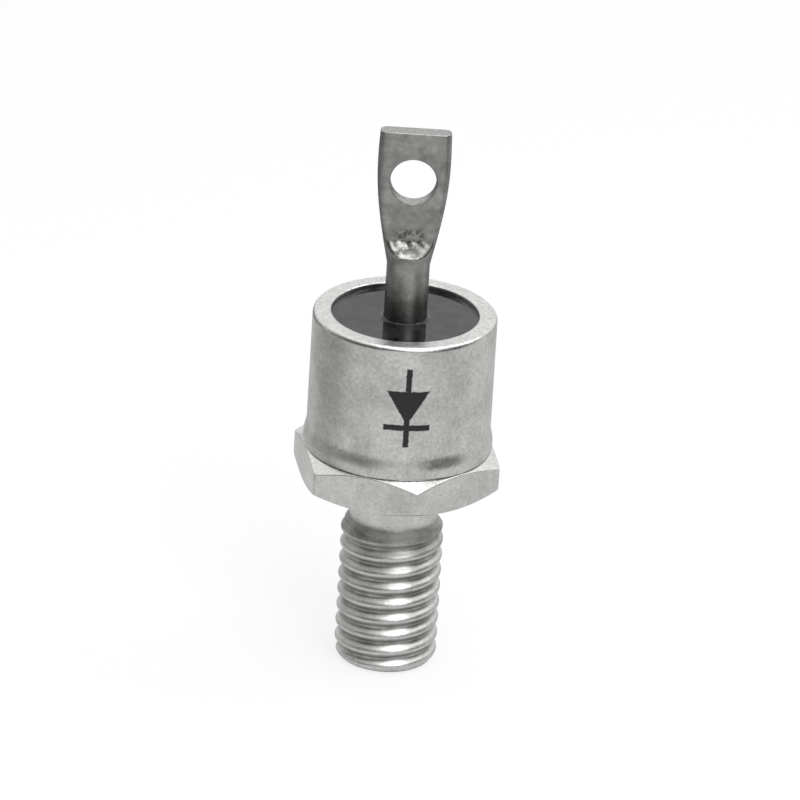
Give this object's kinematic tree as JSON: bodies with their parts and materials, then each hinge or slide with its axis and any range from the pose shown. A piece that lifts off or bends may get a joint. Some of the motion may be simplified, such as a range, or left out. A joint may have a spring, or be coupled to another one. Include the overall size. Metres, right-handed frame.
{
  "type": "stud diode",
  "caption": "Stud-mount rectifier diode: threaded stud with a hexagon base, welded metal can, black glass seal and a tubular terminal pressed into a flat solder lug with a hole.",
  "frame": {"origin": "centre of the hexagon's seating face, on the stud's axis", "axes": "+Z along the stud's axis from the seating face towards the lug, X across the lug, Y along the axis of the lug's hole"},
  "size_m": [0.0122, 0.0124, 0.0332],
  "materials": {
    "nickel_plated_copper": "satin",
    "nickel_plated_steel": "satin",
    "tinned_metal": "satin",
    "black_glass": "gloss",
    "bare_steel": "satin",
    "soft_solder": "satin",
    "molybdenum": "satin",
    "silicon": "gloss",
    "silicone": "matte",
    "copper": "satin"
  },
  "bodies": {
    "root": {"base_stud": "nickel_plated_copper", "weld_ring": "bare_steel", "base_solder": "soft_solder", "lower_disc": "molybdenum", "chip_solder": "soft_solder", "silicon_chip": "silicon", "junction_coating": "silicone", "upper_solder": "soft_solder", "upper_disc": "molybdenum", "lead_solder": "soft_solder", "inner_lead": "copper", "can": "nickel_plated_steel", "glass_seal": "black_glass", "terminal": "tinned_metal"}
  },
  "joints": []
}
